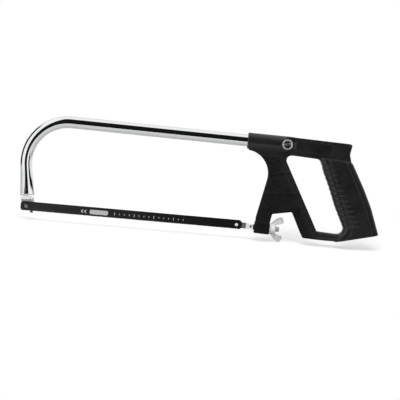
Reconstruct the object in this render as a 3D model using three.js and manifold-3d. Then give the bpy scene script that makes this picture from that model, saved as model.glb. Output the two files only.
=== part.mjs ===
// Hacksaw with a bent tubular bow, a cast pistol handle and a 300 mm blade.
// Millimetres, +Z up.
//
// The shapes are drawn in a frame whose origin is the centre of the front blade pin:
// +X runs along the blade towards the handle, +Z from the teeth towards the back of the
// blade, and y = 0 is the plane that the blade cuts in. The last group moves that frame
// so that the model's origin lies in the middle of the hand grip.

import * as THREE from 'three';
import { mergeVertices } from 'three/addons/utils/BufferGeometryUtils.js';
import Module from 'manifold-3d';

const wasm = await Module();
wasm.setup();

// Clearance between neighbouring solids, and the fineness of round stretches.
const GAP = 0.3;
const ROUND_SIDES = 32;
const SMALL_SIDES = 20;
const ARC_STEP = THREE.MathUtils.degToRad(12);
const EDGE_STEPS = 2;

// Blade: distance between its holes, and its outline about the hole line.
const PIN_SPACING = 300;
const BLADE_OVERHANG = 7.6;
const BLADE_BACK = 7.0;
const BLADE_TEETH = 6.2;
const BLADE_THICKNESS = 0.65;
const BLADE_HOLE_RADIUS = 2.5;
const BLADE_END_CORNER = 4.2;

// Blade pins. Both pins bear on the outer side of their hole when the blade is tight.
const PIN_RADIUS = 1.95;
const PIN_BEARING_GAP = 0.1;
const PIN_STAND_OUT = 3.0;
const SEAT_Y = BLADE_THICKNESS / 2 + GAP;
const PIN_SHIFT = BLADE_HOLE_RADIUS - PIN_RADIUS - PIN_BEARING_GAP;

// Bow tube: a straight top run, one bend and a straight leg.
const TUBE_RADIUS = 8.5;
const TUBE_WALL = 1.5;
const TUBE_FALL = THREE.MathUtils.degToRad(0.83);
const LEG_LEAN = THREE.MathUtils.degToRad(7);
const BEND_CENTRE = new THREE.Vector2(54.2, 65.1);
const BEND_RADIUS = 59;
const BEND_STEPS = 14;
const TOP_RUN = 317;
const LEG_LENGTH = 42;
const LEG_STEPS = 4;
const LEG_END_WIDTH = 19.7;
const LEG_END_DEPTH = 14.1;

// Front blade holder, drawn about the point where the leg's centre line ends.
const HOLDER_WIDTH = 18.6;
const HOLDER_DEPTH = 13.0;
const HOLDER_LENGTH = 22.0;
const HOLDER_STEP = 5.8;
const TANG_LENGTH = 24;
const TURNED_PIN_X = 8.0;
const TURNED_PIN_REACH = 8.8;
const TURNED_PIN_RADIUS = 2.1;

// Draw bolt line: it passes through the rear pin and falls towards the handle.
// Lengths along it are counted from the rear pin.
const DRAW_FALL = THREE.MathUtils.degToRad(1.5);
const SHANK_SIDE = 8.2;
const TONGUE_FRONT = -6.8;
const TONGUE_END = 13.3;
const SHANK_END = 27.5;
const STUD_END = 60.8;
const STUD_RADIUS = 3.9;
const DIMPLE_AT = 20;
const DIMPLE_RADIUS = 1.5;
const DIMPLE_DEPTH = 1.6;

// Foot boss of the handle, in the same frame as the draw bolt.
const FOOT_FRONT = 25.0;
const FOOT_REAR = 46.5;
const FOOT_HALF_HEIGHT = 8.6;
const FOOT_HALF_DEPTH = 9.5;
const FOOT_POCKET_DEPTH = 12;
const LUG_REACH = 1.8;
const LUG_HEIGHT = 7.4;
const LUG_THICKNESS = 3.0;

// Washer and wing nut, behind the foot.
const WASHER_RADIUS = 8;
const WASHER_THICKNESS = 1.4;
const HUB_BASE_RADIUS = 8.0;
const HUB_TOP_RADIUS = 6.4;
const HUB_HEIGHT = 6.5;
const WING_THICKNESS = 3.2;
const WING_TURN = THREE.MathUtils.degToRad(24);

// Handle: barrel round the tube, and the half depths of its other parts.
const BARREL_RADIUS = 11.7;
const BARREL_FRONT = 66.5;
const BORE_END = 1.5;
const WEB_HALF_DEPTH = 6.0;
const BAR_HALF_DEPTH = 10.5;
const GUARD_HALF_DEPTH = 8.0;
const GRIP_HALF_DEPTH = 13.5;

// Frame screw: its place along the tube from the tube's rear end, and its sizes.
const SCREW_FROM_END = 10.2;
const SCREW_HEAD_RADIUS = 7.5;
const SCREW_HEAD_HEIGHT = 2.8;
const SCREW_SEAT = 10.2;
const SCREW_RADIUS = 3.0;
const SCREW_END = 9.0;
const SLEEVE_RADIUS = 4.5;
const SLEEVE_START = 2.0;
const SLOT_WIDTH = 1.8;
const SLOT_DEPTH = 1.2;
const DISH_DEPTH = 0.8;
const SLOT_TILT = THREE.MathUtils.degToRad(15);

// Middle of the hand grip, where the model's origin lies.
const GRIP_MIDDLE = new THREE.Vector2(458, 48);

const MATERIALS = {
  chrome: new THREE.MeshStandardMaterial({ color: 0xd6d8da, roughness: 0.08, metalness: 1 }),
  plated: new THREE.MeshStandardMaterial({ color: 0xb9bab8, roughness: 0.3, metalness: 1 }),
  casting: new THREE.MeshStandardMaterial({ color: 0x1b1b1c, roughness: 0.55, metalness: 0.1 }),
  blade: new THREE.MeshStandardMaterial({ color: 0x222324, roughness: 0.45, metalness: 0.4 }),
};

// ---------------------------------------------------------------- solids and outlines

function toSolid(geometry) {
  const bare = geometry.clone();
  bare.deleteAttribute('normal');
  bare.deleteAttribute('uv');
  const merged = mergeVertices(bare, 1e-4);
  return new wasm.Manifold(new wasm.Mesh({
    numProp: 3,
    vertProperties: new Float32Array(merged.attributes.position.array),
    triVerts: new Uint32Array(merged.index.array),
  }));
}

function toGeometry(solid) {
  const mesh = solid.getMesh();
  const geometry = new THREE.BufferGeometry();
  geometry.setAttribute('position', new THREE.BufferAttribute(mesh.vertProperties, 3));
  geometry.setIndex(new THREE.BufferAttribute(mesh.triVerts, 1));
  geometry.computeVertexNormals();
  return geometry;
}

function join(geometries) {
  return toGeometry(geometries.map(toSolid).reduce((whole, piece) => whole.add(piece)));
}

function cut(geometry, tools) {
  return toGeometry(tools.map(toSolid).reduce((whole, tool) => whole.subtract(tool), toSolid(geometry)));
}

// The arc that rounds a corner, given the unit directions to the corners before and after it.
function cornerArc(corner, back, ahead, radius) {
  const half = Math.acos(back.dot(ahead)) / 2;
  const reach = radius / Math.tan(half);
  const middle = back.clone().add(ahead).normalize();
  const centre = corner.clone().addScaledVector(middle, radius / Math.sin(half));
  const from = corner.clone().addScaledVector(back, reach).sub(centre).angle();
  const to = corner.clone().addScaledVector(ahead, reach).sub(centre).angle();
  const clockwise = back.cross(ahead) > 0;
  const steps = Math.ceil((Math.PI - 2 * half) / ARC_STEP);
  return new THREE.EllipseCurve(centre.x, centre.y, radius, radius, from, to, clockwise).getPoints(steps);
}

// A closed outline through corners [x, z, radius]; a corner with a radius becomes an arc.
function outline(corners) {
  const points = corners.flatMap(([x, z, radius = 0], index) => {
    const corner = new THREE.Vector2(x, z);
    if (radius === 0) return [corner];
    const previous = new THREE.Vector2(...corners.at(index - 1));
    const next = new THREE.Vector2(...corners[(index + 1) % corners.length]);
    const back = previous.sub(corner).normalize();
    const ahead = next.sub(corner).normalize();
    return cornerArc(corner, back, ahead, radius);
  });
  return new THREE.Shape(points);
}

// An outline in the XZ plane made solid from y = low to y = high, its edges rounded off.
function slab(shape, low, high, edge = 0) {
  const geometry = new THREE.ExtrudeGeometry(shape, {
    depth: high - low - 2 * edge,
    bevelEnabled: edge > 0,
    bevelThickness: edge,
    bevelSize: edge,
    bevelOffset: -edge,
    bevelSegments: EDGE_STEPS,
  });
  geometry.rotateX(Math.PI / 2);
  geometry.translate(0, high - edge, 0);
  return geometry;
}

function block(x, y, z) {
  const geometry = new THREE.BoxGeometry(x[1] - x[0], y[1] - y[0], z[1] - z[0]);
  geometry.translate((x[0] + x[1]) / 2, (y[0] + y[1]) / 2, (z[0] + z[1]) / 2);
  return geometry;
}

function rodAlongX(radius, from, to, sides = ROUND_SIDES) {
  const geometry = new THREE.CylinderGeometry(radius, radius, to - from, sides);
  geometry.rotateZ(-Math.PI / 2);
  geometry.translate((from + to) / 2, 0, 0);
  return geometry;
}

function rodAlongY(radius, from, to, sides = SMALL_SIDES) {
  const geometry = new THREE.CylinderGeometry(radius, radius, to - from, sides);
  geometry.translate(0, (from + to) / 2, 0);
  return geometry;
}

// A solid of revolution about X, from a profile of [x, radius] points.
function turnedAlongX(profile, sides = ROUND_SIDES) {
  const points = profile.map(([x, radius]) => new THREE.Vector2(radius, x));
  const geometry = new THREE.LatheGeometry(points, sides);
  geometry.rotateZ(-Math.PI / 2);
  return geometry;
}

// A solid of revolution about Y, from a profile of [y, radius] points.
function turnedAlongY(profile, sides = ROUND_SIDES) {
  const points = profile.map(([y, radius]) => new THREE.Vector2(radius, y));
  return new THREE.LatheGeometry(points, sides);
}

function named(name, geometry, material) {
  const mesh = new THREE.Mesh(geometry, material);
  mesh.name = name;
  return mesh;
}

// ---------------------------------------------------------------- bow tube

// Centre line of the bow: its point and its heading at a length from the rear end.
function bowLine(length) {
  const topHeading = Math.PI - TUBE_FALL;
  const legHeading = 1.5 * Math.PI + LEG_LEAN;
  const bendLength = BEND_RADIUS * (legHeading - topHeading);
  const along = THREE.MathUtils.clamp(length - TOP_RUN, 0, bendLength);
  const heading = topHeading + along / BEND_RADIUS;
  const point = BEND_CENTRE.clone();
  point.x += BEND_RADIUS * Math.sin(heading);
  point.y -= BEND_RADIUS * Math.cos(heading);
  const straight = length < TOP_RUN ? length - TOP_RUN : Math.max(0, length - TOP_RUN - bendLength);
  point.x += straight * Math.cos(heading);
  point.y += straight * Math.sin(heading);
  return { point, heading, bendLength };
}

const BEND_LENGTH = bowLine(0).bendLength;
const BOW_LENGTH = TOP_RUN + BEND_LENGTH + LEG_LENGTH;
const LEG_END = bowLine(BOW_LENGTH).point;
const TUBE_END = bowLine(0).point;

// How far the tube is pressed flat at a length: 0 is round, 1 is the leg's end.
function flatness(length) {
  return THREE.MathUtils.smoothstep(length, TOP_RUN + BEND_LENGTH, BOW_LENGTH);
}

// A straight tube along Y, bent and pressed onto the bow's centre line.
function bowGeometry() {
  const stations = [0, TOP_RUN];
  for (let step = 1; step <= BEND_STEPS; step += 1) {
    stations.push(TOP_RUN + (BEND_LENGTH * step) / BEND_STEPS);
  }
  for (let step = 1; step <= LEG_STEPS; step += 1) {
    stations.push(TOP_RUN + BEND_LENGTH + (LEG_LENGTH * step) / LEG_STEPS);
  }
  const outer = stations.map((length) => new THREE.Vector2(TUBE_RADIUS, length));
  const inner = stations.map((length) => new THREE.Vector2(TUBE_RADIUS - TUBE_WALL, length)).reverse();
  const geometry = new THREE.LatheGeometry([...outer, ...inner, outer[0]], ROUND_SIDES);
  const position = geometry.attributes.position;
  for (let index = 0; index < position.count; index += 1) {
    const length = position.getY(index);
    const { point, heading } = bowLine(length);
    const pressed = flatness(length);
    const widen = THREE.MathUtils.lerp(1, LEG_END_WIDTH / (2 * TUBE_RADIUS), pressed);
    const flatten = THREE.MathUtils.lerp(1, LEG_END_DEPTH / (2 * TUBE_RADIUS), pressed);
    const offset = position.getX(index) * widen;
    const x = point.x + offset * Math.sin(heading);
    const z = point.y - offset * Math.cos(heading);
    position.setXYZ(index, x, -position.getZ(index) * flatten, z);
  }
  return geometry;
}

// Places a tool that is drawn at the origin onto the frame screw's axis.
function atScrew(geometry) {
  const { point } = bowLine(SCREW_FROM_END);
  geometry.translate(point.x, 0, point.y);
  return geometry;
}

function bowTube() {
  const screwHole = atScrew(rodAlongY(SCREW_RADIUS + GAP, -TUBE_RADIUS - 1, 0));
  const sleeveHole = atScrew(rodAlongY(SLEEVE_RADIUS + GAP, 0, TUBE_RADIUS + 1));
  return named('bow_tube', cut(bowGeometry(), [screwHole, sleeveHole]), MATERIALS.chrome);
}

// ---------------------------------------------------------------- front blade holder

// A frame at the leg's end whose Z runs up the leg.
function legFrame() {
  const frame = new THREE.Group();
  frame.position.set(LEG_END.x, 0, LEG_END.y);
  frame.rotation.y = -LEG_LEAN;
  frame.updateMatrixWorld();
  return frame;
}

function frontHolder() {
  const half = HOLDER_WIDTH / 2;
  const body = slab(outline([
    [-half, -GAP],
    [-half, -HOLDER_LENGTH, 5],
    [half, -HOLDER_LENGTH, 3],
    [half, -GAP],
  ]), -HOLDER_DEPTH / 2, HOLDER_DEPTH / 2, 1);
  const tang = rodAlongX(1, -2, TANG_LENGTH);
  tang.rotateY(-Math.PI / 2);
  const tangWidth = LEG_END_WIDTH / 2 - TUBE_WALL - 2 * GAP - 1;
  const tangDepth = LEG_END_DEPTH / 2 - TUBE_WALL - GAP;
  tang.scale(tangWidth, tangDepth, 1);
  const relief = block(
    [-HOLDER_WIDTH, HOLDER_WIDTH],
    [-HOLDER_DEPTH, SEAT_Y],
    [-2 * HOLDER_LENGTH, -HOLDER_STEP],
  );
  const blank = cut(join([body, tang]), [relief]);
  blank.applyMatrix4(legFrame().matrixWorld);
  const pinHole = rodAlongY(PIN_RADIUS + GAP, 0, HOLDER_DEPTH);
  pinHole.translate(-PIN_SHIFT, 0, 0);
  const turnedHoleRadius = TURNED_PIN_RADIUS + GAP;
  const turnedHole = new THREE.CylinderGeometry(turnedHoleRadius, turnedHoleRadius, 14, SMALL_SIDES);
  turnedHole.rotateX(Math.PI / 2);
  turnedHole.translate(TURNED_PIN_X, (SEAT_Y + HOLDER_DEPTH / 2) / 2, -5);
  return named('front_blade_holder', cut(blank, [pinHole, turnedHole]), MATERIALS.plated);
}

// A cross pin with a chamfered nose, from the back of its holder to beyond the blade.
function crossPin(name, back) {
  const profile = [
    [-PIN_STAND_OUT, 0],
    [-PIN_STAND_OUT, PIN_RADIUS - 0.6],
    [-PIN_STAND_OUT + 0.6, PIN_RADIUS],
    [back, PIN_RADIUS],
    [back, 0],
  ];
  return named(name, turnedAlongY(profile, SMALL_SIDES), MATERIALS.plated);
}

function frontPin() {
  const pin = crossPin('front_blade_pin', HOLDER_DEPTH / 2);
  pin.position.x = -PIN_SHIFT;
  return pin;
}

function turnedPin() {
  const length = TURNED_PIN_REACH;
  const geometry = new THREE.CylinderGeometry(TURNED_PIN_RADIUS, TURNED_PIN_RADIUS, length, SMALL_SIDES);
  geometry.rotateX(Math.PI / 2);
  const pin = named('front_turned_pin', geometry, MATERIALS.plated);
  pin.position.set(TURNED_PIN_X, (SEAT_Y + HOLDER_DEPTH / 2) / 2, -TURNED_PIN_REACH + length / 2);
  return pin;
}

// ---------------------------------------------------------------- blade

function blade() {
  const front = -BLADE_OVERHANG;
  const rear = PIN_SPACING + BLADE_OVERHANG;
  const shape = outline([
    [front, -BLADE_TEETH, BLADE_END_CORNER],
    [rear, -BLADE_TEETH, BLADE_END_CORNER],
    [rear, BLADE_BACK, BLADE_END_CORNER],
    [front, BLADE_BACK, BLADE_END_CORNER],
  ]);
  for (const x of [0, PIN_SPACING]) {
    const hole = new THREE.Path();
    hole.absarc(x, 0, BLADE_HOLE_RADIUS, 0, 2 * Math.PI);
    shape.holes.push(hole);
  }
  return named('blade', slab(shape, -BLADE_THICKNESS / 2, BLADE_THICKNESS / 2), MATERIALS.blade);
}

// ---------------------------------------------------------------- draw bolt and wing nut

// A frame at the rear pin whose X runs along the draw bolt.
function drawFrame() {
  const frame = new THREE.Group();
  frame.position.x = PIN_SPACING + PIN_SHIFT;
  frame.rotation.y = DRAW_FALL;
  frame.updateMatrixWorld();
  return frame;
}

function drawBolt() {
  const half = SHANK_SIDE / 2;
  const shank = block([TONGUE_FRONT, SHANK_END], [-half, half], [-half, half]);
  const stud = rodAlongX(STUD_RADIUS, SHANK_END - 1, STUD_END);
  const relief = block([TONGUE_FRONT - 1, TONGUE_END], [-half - 1, SEAT_Y], [-half - 1, half + 1]);
  const pinHole = rodAlongY(PIN_RADIUS + GAP, 0, SHANK_SIDE);
  const dimple = rodAlongY(DIMPLE_RADIUS, -SHANK_SIDE, -half + DIMPLE_DEPTH, 12);
  dimple.translate(DIMPLE_AT, 0, 0);
  return named('draw_bolt', cut(join([shank, stud]), [relief, pinHole, dimple]), MATERIALS.plated);
}

function thrustWasher() {
  const bore = STUD_RADIUS + GAP;
  const rear = FOOT_REAR + GAP + WASHER_THICKNESS;
  const profile = [
    [FOOT_REAR + GAP, bore],
    [FOOT_REAR + GAP, WASHER_RADIUS],
    [rear, WASHER_RADIUS],
    [rear, bore],
    [FOOT_REAR + GAP, bore],
  ];
  return named('thrust_washer', turnedAlongX(profile), MATERIALS.plated);
}

function wingNut() {
  const bore = STUD_RADIUS + GAP;
  const hub = turnedAlongX([
    [0, bore],
    [0, HUB_BASE_RADIUS - 0.5],
    [0.5, HUB_BASE_RADIUS],
    [HUB_HEIGHT - 0.8, HUB_TOP_RADIUS],
    [HUB_HEIGHT, HUB_TOP_RADIUS - 0.8],
    [HUB_HEIGHT, bore],
    [0, bore],
  ]);
  const shape = outline([
    [0.6, 5.5],
    [0.6, 8.5, 2],
    [6.4, 16, 8],
    [14, 20, 2],
    [17.5, 12.9, 2],
    [15.8, 9.9, 2],
    [HUB_HEIGHT - 0.6, 6.9],
    [HUB_HEIGHT - 0.6, 5.5],
  ]);
  const wing = slab(shape, -WING_THICKNESS / 2, WING_THICKNESS / 2);
  const opposite = wing.clone().rotateX(Math.PI);
  const nut = named('wing_nut', join([hub, wing, opposite]), MATERIALS.plated);
  nut.position.x = FOOT_REAR + 2 * GAP + WASHER_THICKNESS;
  nut.rotation.x = WING_TURN;
  return nut;
}

// ---------------------------------------------------------------- handle

// The barrel round the tube, with its front face square to the tube.
function barrel() {
  const geometry = rodAlongX(BARREL_RADIUS, -BARREL_FRONT, 0);
  geometry.rotateY(TUBE_FALL);
  geometry.translate(TUBE_END.x, 0, TUBE_END.y);
  return geometry;
}

function tubeBore() {
  const geometry = rodAlongX(TUBE_RADIUS + GAP, -BARREL_FRONT - 5, BORE_END);
  geometry.rotateY(TUBE_FALL);
  geometry.translate(TUBE_END.x, 0, TUBE_END.y);
  return geometry;
}

function webOutline() {
  return outline([
    [307.9, 107.4],
    [345.5, 104, 33.5],
    [326.6, 13, 20],
    [326.1, 0],
    [345.8, 0],
    [349.4, 19.6, 1.5],
    [377, 24.8, 2.5],
    [392.2, -5.5],
    [417.5, -5.5],
    [362.6, 96.5],
    [372, 116],
    [310, 118],
  ]);
}

function topBarOutline() {
  return outline([
    [360, 130.9],
    [450.5, 128.1],
    [453.8, 126.4],
    [451.4, 113, 9],
    [456, 101],
    [440, 92],
    [412, 96],
    [366, 98],
  ]);
}

function gripOutline() {
  return outline([
    [404, 112],
    [425, 66],
    [451, 12],
    [444, -4],
    [445, -11.4],
    [502.3, 2.5],
    [488.6, 40, 60],
    [476.6, 65, 60],
    [454, 106],
    [449, 113],
  ]);
}

function guardOutline() {
  return outline([
    [390.5, -0.8],
    [395, -10.4],
    [424, -11.5],
    [447, -11.4],
    [456, 6],
    [440, 8],
    [408, 8],
  ]);
}

function handHoleOutline() {
  return outline([
    [361.2, 105.2, 7],
    [410.4, 102.7, 7],
    [422.4, 66, 50],
    [456.4, -1.4, 8.5],
    [414.4, 0.6, 2],
  ]);
}

// The raised boss at the foot, drawn in the draw bolt's frame, with its two guide lugs.
function footBoss() {
  const boss = slab(outline([
    [FOOT_FRONT, -FOOT_HALF_HEIGHT],
    [FOOT_REAR, -FOOT_HALF_HEIGHT],
    [FOOT_REAR, FOOT_HALF_HEIGHT],
    [FOOT_FRONT, FOOT_HALF_HEIGHT],
  ]), -FOOT_HALF_DEPTH, FOOT_HALF_DEPTH, 1);
  const lugSlot = SHANK_SIDE / 2 + GAP;
  const lugs = block(
    [FOOT_FRONT - LUG_REACH, FOOT_FRONT + 3],
    [-lugSlot - LUG_THICKNESS, lugSlot + LUG_THICKNESS],
    [-LUG_HEIGHT / 2, LUG_HEIGHT / 2],
  );
  return join([boss, lugs]);
}

// The passage for the draw bolt: a square pocket in front and a round hole behind it.
function footPassage() {
  const side = SHANK_SIDE / 2 + GAP;
  const pocket = block(
    [FOOT_FRONT - LUG_REACH - 1, FOOT_FRONT + FOOT_POCKET_DEPTH],
    [-side, side],
    [-side, side],
  );
  return join([pocket, rodAlongX(STUD_RADIUS + GAP, FOOT_FRONT, FOOT_REAR + 2)]);
}

function screwSeats() {
  const seat = SCREW_SEAT - GAP;
  const outside = BARREL_RADIUS + 3;
  return [
    rodAlongY(SCREW_HEAD_RADIUS + GAP, -outside, -seat),
    rodAlongY(SCREW_HEAD_RADIUS + GAP, seat, outside),
    rodAlongY(SCREW_RADIUS + GAP, -outside, 0),
    rodAlongY(SLEEVE_RADIUS + GAP, 0, outside),
  ].map(atScrew);
}

function handleCasting() {
  const toFoot = drawFrame().matrixWorld;
  const body = join([
    barrel(),
    slab(webOutline(), -WEB_HALF_DEPTH, WEB_HALF_DEPTH),
    slab(topBarOutline(), -BAR_HALF_DEPTH, BAR_HALF_DEPTH, 1.5),
    slab(gripOutline(), -GRIP_HALF_DEPTH, GRIP_HALF_DEPTH, 5),
    slab(guardOutline(), -GUARD_HALF_DEPTH, GUARD_HALF_DEPTH, 2.5),
    footBoss().applyMatrix4(toFoot),
  ]);
  const handHole = slab(handHoleOutline(), -2 * GRIP_HALF_DEPTH, 2 * GRIP_HALF_DEPTH);
  const passage = footPassage().applyMatrix4(toFoot);
  const casting = cut(body, [handHole, tubeBore(), passage, ...screwSeats()]);
  return named('handle_casting', casting, MATERIALS.casting);
}

// ---------------------------------------------------------------- frame screw

function frameScrew() {
  const face = -SCREW_SEAT - SCREW_HEAD_HEIGHT;
  const turned = turnedAlongY([
    [face + DISH_DEPTH, 0],
    [face + DISH_DEPTH, SCREW_HEAD_RADIUS - 2],
    [face, SCREW_HEAD_RADIUS - 1.6],
    [face, SCREW_HEAD_RADIUS - 0.5],
    [face + 0.5, SCREW_HEAD_RADIUS],
    [-SCREW_SEAT, SCREW_HEAD_RADIUS],
    [-SCREW_SEAT, SCREW_RADIUS],
    [SCREW_END, SCREW_RADIUS],
    [SCREW_END, 0],
  ]);
  const slot = block(
    [-SCREW_HEAD_RADIUS, SCREW_HEAD_RADIUS],
    [face - 1, face + DISH_DEPTH + SLOT_DEPTH],
    [-SLOT_WIDTH / 2, SLOT_WIDTH / 2],
  );
  slot.scale(0.7, 1, 1);
  slot.rotateY(-SLOT_TILT);
  return named('frame_screw', cut(turned, [slot]), MATERIALS.chrome);
}

function frameScrewNut() {
  const face = SCREW_SEAT + SCREW_HEAD_HEIGHT;
  const bore = SCREW_RADIUS + GAP;
  const profile = [
    [SLEEVE_START, bore],
    [SLEEVE_START, SLEEVE_RADIUS],
    [SCREW_SEAT, SLEEVE_RADIUS],
    [SCREW_SEAT, SCREW_HEAD_RADIUS],
    [face - 1, SCREW_HEAD_RADIUS],
    [face, SCREW_HEAD_RADIUS - 1.5],
    [face, 0],
    [SCREW_END + GAP, 0],
    [SCREW_END + GAP, bore],
    [SLEEVE_START, bore],
  ];
  return named('frame_screw_nut', turnedAlongY(profile), MATERIALS.chrome);
}

// ---------------------------------------------------------------- the whole saw

function hacksaw() {
  const drawing = new THREE.Group();
  drawing.position.set(-GRIP_MIDDLE.x, 0, -GRIP_MIDDLE.y);

  const screwLine = new THREE.Group();
  const screwPoint = bowLine(SCREW_FROM_END).point;
  screwLine.position.set(screwPoint.x, 0, screwPoint.y);
  screwLine.add(frameScrew(), frameScrewNut());

  const drawLine = drawFrame();
  drawLine.add(
    drawBolt(),
    crossPin('rear_blade_pin', SHANK_SIDE / 2),
    thrustWasher(),
    wingNut(),
  );

  drawing.add(handleCasting(), bowTube(), frontHolder(), frontPin(), turnedPin());
  drawing.add(screwLine, drawLine, blade());

  const saw = new THREE.Group();
  saw.add(drawing);
  return saw;
}

export default hacksaw();
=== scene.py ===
"""The looks of the hacksaw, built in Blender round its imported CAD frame.

Cast and machined pieces are written as distance fields in millimetres, negative inside,
and meshed on a grid; the tube is swept, the pins are turned and the blade is cut from an
outline. The drawing frame has its origin at the centre of the front blade pin, +X towards
the handle and +Z from the teeth to the back of the blade. The saw's frame is the drawing
frame moved by GRIP_MIDDLE and measured in metres.
"""

import math

import bpy
import numpy as np
from mathutils import Matrix, Vector


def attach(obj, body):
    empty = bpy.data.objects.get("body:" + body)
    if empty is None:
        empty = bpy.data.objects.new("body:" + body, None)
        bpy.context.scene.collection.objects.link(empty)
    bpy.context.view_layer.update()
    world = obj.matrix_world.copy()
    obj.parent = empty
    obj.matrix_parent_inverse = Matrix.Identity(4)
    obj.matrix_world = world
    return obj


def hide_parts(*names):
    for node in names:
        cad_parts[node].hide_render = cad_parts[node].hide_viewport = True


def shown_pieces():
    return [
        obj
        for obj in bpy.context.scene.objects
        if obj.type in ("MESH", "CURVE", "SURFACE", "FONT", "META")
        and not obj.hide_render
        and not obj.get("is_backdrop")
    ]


MM = 0.001
GRIP_MIDDLE = (458.0, 0.0, 48.0)

# Blade, and the plane of the seats behind it.
PIN_SPACING = 300.0
BLADE_OVERHANG = 7.6
BLADE_BACK = 7.0
BLADE_TEETH = 6.2
BLADE_HALF_THICKNESS = 0.325
BLADE_HOLE_RADIUS = 2.5
BLADE_END_CORNER = 4.2
TOOTH_PITCH = 25.4 / 24
TOOTH_DEPTH = 0.75
SET_TEETH = 8
SET_REACH = 0.16
INK_HALF_THICKNESS = 0.01
SEAT_Y = 0.625

# Pins.
PIN_RADIUS = 1.95
PIN_STAND_OUT = 3.0
PIN_SHIFT = 0.45
TURNED_PIN_X = 8.0
TURNED_PIN_REACH = 8.8
TURNED_PIN_RADIUS = 2.1

# Bow tube.
TUBE_RADIUS = 8.49
TUBE_WALL = 1.5
TUBE_FALL = math.radians(0.83)
LEG_LEAN = math.radians(7)
BEND_CENTRE = (54.2, 65.1)
BEND_RADIUS = 59.0
TOP_RUN = 317.0
LEG_LENGTH = 42.0
LEG_END_WIDTH = 19.7
LEG_END_DEPTH = 14.1

# Front blade holder, about the end of the leg's centre line.
HOLDER_HALF_WIDTH = 9.3
HOLDER_HALF_DEPTH = 6.5
HOLDER_LENGTH = 22.0
HOLDER_STEP = 5.8

# Draw bolt, its foot boss, washer and wing nut, along the draw line from the rear pin.
DRAW_FALL = math.radians(1.5)
SHANK_HALF = 4.1
TONGUE_FRONT = -6.8
TONGUE_END = 13.3
SHANK_END = 27.5
STUD_END = 60.8
STUD_RADIUS = 3.9
THREAD_PITCH = 1.25
THREAD_DEPTH = 0.68
DIMPLE_AT = 20.0
FOOT_FRONT = 25.0
FOOT_REAR = 46.5
FOOT_HALF_HEIGHT = 8.6
FOOT_HALF_DEPTH = 9.5
WASHER_FRONT = 46.8
WASHER_REAR = 48.2
WASHER_RADIUS = 8.0
NUT_FRONT = 48.5
HUB_HEIGHT = 6.5
WING_TURN = math.radians(24)

# Handle.
BARREL_RADIUS = 11.5
BARREL_FRONT = 66.5
WEB_HALF = 6.0
BAR_HALF = 10.45
GUARD_HALF = 8.0
GRIP_HALF = 13.4
RIB_PITCH = 7.02
RIB_FIRST = 89.6
RIB_COUNT = 12
RIB_RISE = 0.088
RIB_DEPTH = 1.1

# Frame screw, from the tube's rear end.
SCREW_FROM_END = 10.2
SCREW_HEAD_RADIUS = 7.5
SCREW_HEAD_HEIGHT = 2.8
SCREW_SEAT = 10.2
SLOT_TILT = math.radians(15)

HANDLE_GRID = 0.8
BLOCK_GRID = 0.3
FITTING_GRID = 0.24
THREAD_GRID = 0.22

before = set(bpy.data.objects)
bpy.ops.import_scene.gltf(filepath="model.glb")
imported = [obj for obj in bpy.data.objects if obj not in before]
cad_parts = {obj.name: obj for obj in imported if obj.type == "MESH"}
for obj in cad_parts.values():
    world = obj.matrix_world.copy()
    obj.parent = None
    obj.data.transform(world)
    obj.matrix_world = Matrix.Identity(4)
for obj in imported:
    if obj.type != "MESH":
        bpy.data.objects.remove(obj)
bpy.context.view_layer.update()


# ------------------------------------------------------------------ distance fields


def outline(corners, arc_step=8.0):
    """Points of a closed outline through corners (x, z) or (x, z, radius)."""
    points = []
    for index, corner in enumerate(corners):
        here = np.array(corner[:2], float)
        if len(corner) == 2:
            points.append(here)
            continue
        back = np.array(corners[index - 1][:2], float) - here
        ahead = np.array(corners[(index + 1) % len(corners)][:2], float) - here
        back /= np.linalg.norm(back)
        ahead /= np.linalg.norm(ahead)
        half = math.acos(np.clip(back @ ahead, -1, 1)) / 2
        middle = (back + ahead) / np.linalg.norm(back + ahead)
        centre = here + middle * corner[2] / math.sin(half)
        start = here + back * corner[2] / math.tan(half) - centre
        turn = math.copysign(math.pi - 2 * half, ahead[0] * back[1] - ahead[1] * back[0])
        steps = max(2, math.ceil(math.degrees(abs(turn)) / arc_step))
        for step in range(steps + 1):
            angle = math.atan2(start[1], start[0]) + turn * step / steps
            points.append(centre + corner[2] * np.array([math.cos(angle), math.sin(angle)]))
    return np.array(points)


def polygon(points, x, z):
    """Distance to a closed outline in the XZ plane, negative inside."""
    nearest = np.full(np.broadcast(x, z).shape, np.inf)
    inside = np.zeros(nearest.shape, bool)
    for (ax, az), (bx, bz) in zip(points, np.roll(points, -1, axis=0)):
        side_x, side_z = bx - ax, bz - az
        share = ((x - ax) * side_x + (z - az) * side_z) / (side_x**2 + side_z**2 + 1e-12)
        share = np.clip(share, 0, 1)
        away = (x - ax - share * side_x) ** 2 + (z - az - share * side_z) ** 2
        nearest = np.minimum(nearest, away)
        if bz != az:
            crosses = (az > z) != (bz > z)
            inside ^= crosses & (x < ax + side_x * (z - az) / side_z)
    return np.where(inside, -1, 1) * np.sqrt(nearest)


def rounded(across, along, edge):
    """Two distances met as a solid whose edge between them is rounded off."""
    a, b = across + edge, along + edge
    outside = np.hypot(np.maximum(a, 0), np.maximum(b, 0))
    return outside + np.minimum(np.maximum(a, b), 0) - edge


def join(a, b, fillet=0.0):
    """Union of two fields, with a soft fillet between them."""
    if fillet == 0:
        return np.minimum(a, b)
    reach = np.maximum(fillet - np.abs(a - b), 0)
    return np.minimum(a, b) - reach**2 / (4 * fillet)


def cut(a, b, soften=0.0):
    """Field a without field b."""
    return -join(-a, b, soften)


def smooth(value, low, high):
    """0 below low, 1 above high, and a smooth rise between."""
    share = np.clip((value - low) / (high - low), 0, 1)
    return share * share * (3 - 2 * share)


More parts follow.
